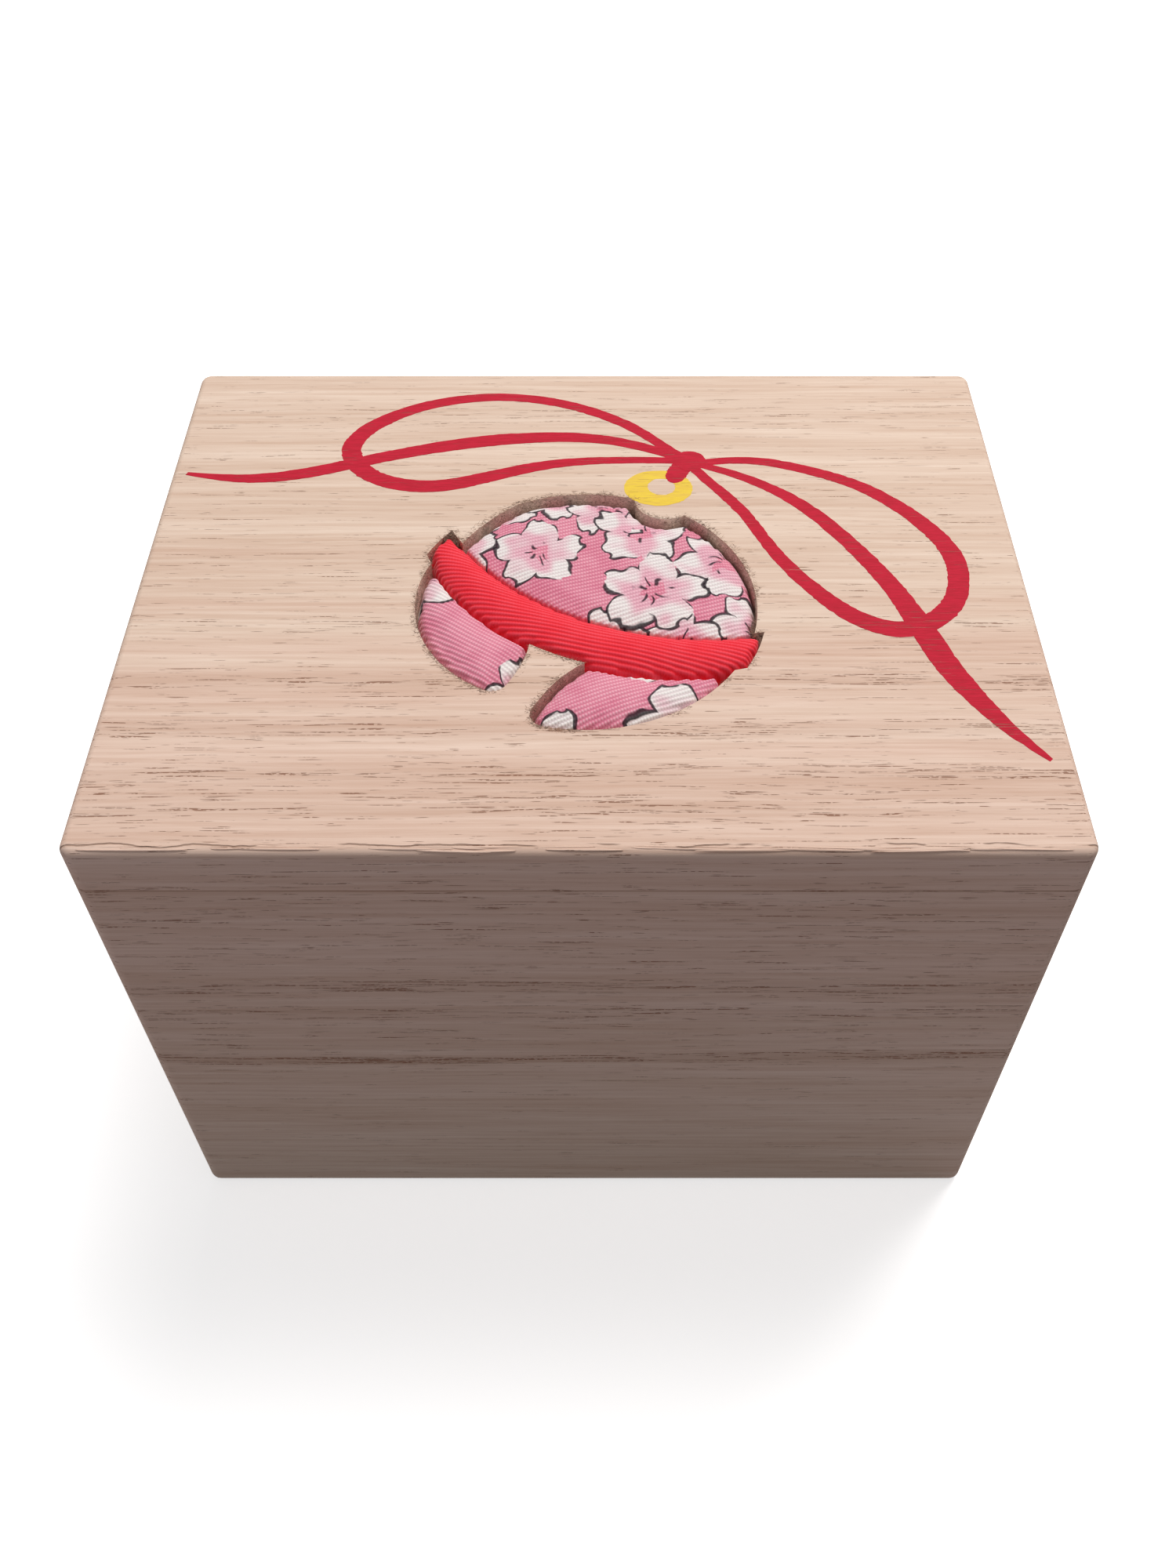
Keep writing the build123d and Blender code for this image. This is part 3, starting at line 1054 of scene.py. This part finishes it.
knot_radius = 1.75 * MM

# %% Brushing them on
ink_coat = 0.03 * MM
ink_step = 0.002 * MM
ink_sunk = 0.012 * MM
fray = 0.07 * MM
fray_grain = Vector((1 / 0.9, 1 / 0.22, 1)) / MM
spline_order = 4
curve_steps = 8


def brush_stroke(name, stroke):
    """A flat ribbon along the stroke, as wide at each of its points as the point says."""
    bpy.ops.curve.primitive_nurbs_path_add()
    curve = bpy.context.object.data
    curve.splines.clear()
    line = curve.splines.new("NURBS")
    line.points.add(len(stroke) - 1)
    for point, (x, y, width) in zip(line.points, stroke):
        point.co = (x * MM, y * MM, 0, 1)
        point.radius = width
        point.tilt = math.pi / 2
    line.order_u = spline_order
    line.use_endpoint_u = True
    curve.dimensions = "3D"
    curve.twist_mode = "Z_UP"
    curve.resolution_u = curve_steps
    curve.extrude = 0.5 * MM
    pick(bpy.context.object)
    bpy.ops.object.convert(target="MESH")
    return added(name)


def fray_edges(piece):
    """Moves the points of a flat print a little, along and across the grain of the wood."""
    points = points_of(piece)
    for point in points:
        spot = Vector((point[0] * fray_grain.x, point[1] * fray_grain.y, 0))
        point[0] += fray * 2.0 * noise.noise(spot)
        point[1] += fray * noise.noise(spot + Vector((31.7, 0, 0)))
        point[2] = 0
    set_points(piece, points)


def coat(piece, height):
    """Turns the flat print into a thin coat of ink that is keyed into the wood."""
    with editing(piece):
        bpy.ops.mesh.remove_doubles(threshold=0.005 * MM)
        bpy.ops.mesh.normals_make_consistent(inside=False)
        shape = bmesh.from_edit_mesh(piece.data)
        if sum(face.normal.z for face in shape.faces) < 0:
            bpy.ops.mesh.flip_normals()
        bpy.ops.transform.translate(value=(0, 0, lid_top + height))
    wall = piece.modifiers.new("coat", "SOLIDIFY")
    wall.thickness = height + ink_sunk
    wall.offset = -1.0
    apply_modifiers(piece)
    bpy.ops.object.shade_flat()


# %% The knot and the strokes
bpy.ops.mesh.primitive_circle_add(
    vertices=48, radius=knot_radius, fill_type="NGON", location=knot_place
)
printed_cord = added("printed_cord")
bpy.ops.object.transform_apply()
fray_edges(printed_cord)
coat(printed_cord, ink_coat)
layers = [printed_cord]
for name, stroke in cord_strokes.items():
    ribbon = brush_stroke(name, stroke)
    fray_edges(ribbon)
    coat(ribbon, ink_coat - len(layers) * ink_step)
    layers.append(ribbon)
pick(*layers)
bpy.ops.object.join()
print("printed cord, mm:", [round(side / MM, 1) for side in printed_cord.dimensions])

# %% [markdown]
# ## The printed ring
#
# Under the knot hangs a yellow ring, an oval in a thinner ink. It is a circle of edges, drawn
# out to an oval and extruded inwards to its hole, which lies a little off the middle. It is
# frayed and coated as the cord is, but lower, so the cord's end lies over it.

# %% The ring
ring_centre = (8.1 * MM, 14.1 * MM, 0)
ring_radii = (3.7, 3.0)
ring_hole = (0.4, 0.47)
hole_shift = (0.35 * MM, 0.2 * MM, 0)
ring_coat = 0.018 * MM

bpy.ops.mesh.primitive_circle_add(vertices=120, radius=MM, fill_type="NOTHING")
printed_ring = added("printed_ring")
with editing(printed_ring):
    bpy.ops.transform.resize(value=(*ring_radii, 1))
    bpy.ops.mesh.extrude_edges_move()
    bpy.ops.transform.resize(value=(*ring_hole, 1))
    bpy.ops.transform.translate(value=hole_shift)
    pick_all()
    bpy.ops.transform.translate(value=ring_centre)
fray_edges(printed_ring)
coat(printed_ring, ring_coat)

# %% [markdown]
# ## Ink on wood
#
# Stencil ink on bare wood never covers it fully. The pores stay open and show as dark dashes,
# and the fibres make the colour a little uneven. So the ink's finish starts from the lid's own
# wood, with the same pores in the same places, and lays the colour over it.

# %% The inks
cord_crimson = shade(204, 20, 54)
cord_dark = shade(186, 14, 45)
ring_yellow = shade(250, 216, 44)
ring_thin = shade(240, 200, 60)


def ink(name, full, thin, cover):
    """Ink over the lid's wood: full where it lies thick, thin elsewhere, and open at the pores."""
    wood, spot, pores, colour, relief = plank(name, **lid_grain)
    uneven = wood.noise(spot, (1.5, 0.15, 0.15), 3.0)
    dyed = wood.mix(wood.ramp(uneven, 0.35, 0.65), full, thin)
    colour = wood.mix(cover - pores * 0.45, colour, dyed)
    return wood.finish(colour, relief, depth=0.04)


settle(printed_cord, ink("cord_ink", cord_crimson, cord_dark, 0.99))
settle(printed_ring, ink("ring_ink", ring_yellow, ring_thin, 0.9))

# %% [markdown]
# ## Torn fibres along the rim
#
# The punch that cut the pocket tore the soft wood, and its rim is hairy with short fibres. One
# fibre is a thin three-sided spike. Copies of it stand along the outline in clumps, most of
# them along the grain, some leaning into the pocket and some outwards. In the two corners where
# the band ends, they are longer and stand as a tuft. All draws come from one seeded generator,
# so the fibres are the same in every run.

# %% One fibre, and a way to make many
draw = random.Random(11)
fibre_width = 0.022 * MM

bpy.ops.mesh.primitive_cone_add(vertices=3, radius1=1, radius2=0, depth=1, location=(0, 0, 0.5))
fibre = added("fibre")
bpy.ops.object.transform_apply()


def copies(name, master, places):
    """One piece made of copies of a small shape, one at each place, a matrix."""
    many = bmesh.new()
    one = bmesh.new()
    one.from_mesh(master.data)
    for place in places:
        corners = {v: many.verts.new(place @ v.co) for v in one.verts}
        for face in one.faces:
            many.faces.new([corners[v] for v in face.verts])
    mesh = bpy.data.meshes.new(name)
    many.to_mesh(mesh)
    one.free()
    many.free()
    piece = bpy.data.objects.new(name, mesh)
    scene.collection.objects.link(piece)
    bpy.data.objects.remove(master)
    return piece


def stood_along(way, roll=0.0):
    """The turn that stands the Z axis along a direction."""
    return way.to_track_quat("Z", "Y").to_matrix().to_4x4() @ Matrix.Rotation(roll, 4, "Z")


fibre_places = []


def grow(foot, way, length):
    """Adds the place of one fibre, which has its foot here and points that way."""
    width = fibre_width * draw.uniform(0.6, 1.4)
    turn = stood_along(Vector(way).normalized(), draw.uniform(0, 3))
    stretch = Matrix.Diagonal((width, width, length, 1))
    fibre_places.append(Matrix.Translation(foot) @ turn @ stretch)


# %% Fibres in clumps along the whole rim
fibre_count = 5200
fibre_lengths = (0.12 * MM, 0.5 * MM)
fuzz_width = 0.2 * MM
outside_share = 0.6
wall_reach = 1.1
clump_size = 2.6 * MM
torn_level = -0.3
clean_level = 0.25

while len(fibre_places) < fibre_count:
    root = draw.choice(outline_points)
    inwards = slope(inside_pocket, root.x, root.y)
    clump = noise.noise(Vector((root.x, root.y, 0)) / clump_size) + draw.uniform(-0.3, 0.3)
    torn_side = inwards.y < -0.2 or inwards.x > 0.4
    if clump < (torn_level if torn_side else clean_level):
        continue
    with_grain = draw.uniform(0.1, 1.2) * draw.choice((-1, 1))
    if draw.random() < outside_share:
        away = min(draw.expovariate(1 / fuzz_width), 3 * fuzz_width)
        foot = (root.x - inwards.x * away, root.y - inwards.y * away, lid_top - nearly)
        across = draw.uniform(-0.6, 0.6)
        climb = draw.uniform(0.0, 0.16)
    else:
        foot = (root.x, root.y, lid_top - draw.uniform(0.0, wall_reach) * MM)
        across = draw.uniform(0.0, 0.6)
        climb = draw.uniform(-0.7, 0.3)
    way = (inwards.x * across + with_grain, inwards.y * across, climb)
    grow(foot, way, draw.uniform(*fibre_lengths))

# %% Tufts in the two corners
tuft_corners = ((-13.6, 7.0), (17.8, -8.2))
tuft_reach = 1.7 * MM
tuft_depths = (0.05, 1.3)
tuft_count = 420
tuft_lengths = (0.4 * MM, 1.3 * MM)

for corner in tuft_corners:
    middle = Vector(corner) * MM
    near = [p for p in outline_points if (Vector((p.x, p.y)) - middle).length < tuft_reach]
    for _ in range(tuft_count):
        root = draw.choice(near)
        inwards = slope(inside_pocket, root.x, root.y)
        foot = (root.x, root.y, lid_top - draw.uniform(*tuft_depths) * MM)
        aside = (inwards.x + draw.uniform(-1, 1), inwards.y + draw.uniform(-1, 1))
        way = (*aside, draw.uniform(-0.3, 0.3))
        grow(foot, way, draw.uniform(*tuft_lengths))
rim_fibres = copies("rim_fibres", fibre, fibre_places)

# %% Their finish
dusty_brown = shade(124, 98, 86)
fibre_tan = shade(184, 154, 134)
hair = Finish("torn_fibres", roughness=0.9, specular=0.1)
tone = hair.ramp(hair.noise(hair.place(), 0.4), 0.3, 0.7)
colour = hair.mix(tone, dusty_brown, fibre_tan)
settle(rim_fibres, hair.finish(colour, tone, depth=0.02))

# %% [markdown]
# ## Splinters along the front edge
#
# The long crack lines of the lid's finish are only drawn. In a few places the wood between the
# crack and the edge has really lifted, as a long thin flake. One flake is a flat lens, pointed
# at both ends, and copies of it lie nearly level along the edge, half sunk into it.

# %% Flakes
flake_count = 34
flake_lengths = (2.5, 11.0)
flake_width = 0.24 * MM
flake_thickness = 0.1 * MM
flake_lean = 0.035
flake_lift = 0.012
edge_round = 0.45

bpy.ops.mesh.primitive_uv_sphere_add(segments=10, ring_count=9, radius=0.5)
flake = added("flake")
with editing(flake):
    bpy.ops.transform.resize(value=(flake_width, flake_thickness, MM))

flake_places = []
for _ in range(flake_count):
    length = draw.uniform(*flake_lengths)
    x = draw.uniform(cad_low.x / MM + length / 2 + 1, cad_high.x / MM - length / 2 - 1)
    y = cad_low.y / MM + draw.uniform(0.22, 0.85)
    drop = max(0.0, edge_round - (y - cad_low.y / MM)) ** 2 * 1.2
    lean = draw.uniform(-flake_lean, flake_lean)
    way = Vector((1, lean, draw.uniform(-flake_lift, flake_lift))).normalized()
    centre = Vector((x, y, lid_top / MM - drop - 0.03)) * MM
    turn = stood_along(way) @ Matrix.Rotation(draw.uniform(-0.5, 0.5), 4, "Z")
    flake_places.append(Matrix.Translation(centre) @ turn @ Matrix.Diagonal((1, 1, length, 1)))
edge_flakes = copies("edge_flakes", flake, flake_places)
pick(edge_flakes)
bpy.ops.object.shade_smooth()
settle(edge_flakes, lid_wood())

# %% [markdown]
# ## Size
#
# Both boxes, the CAD model's and the dressed one's, are compared, and the script prints how
# far each side has grown.

# %% Compare the boxes
visual_low, visual_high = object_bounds()
grown = (*(cad_low - visual_low), *(visual_high - cad_high))
print("grown by, mm:", [round(v / MM, 2) for v in grown])
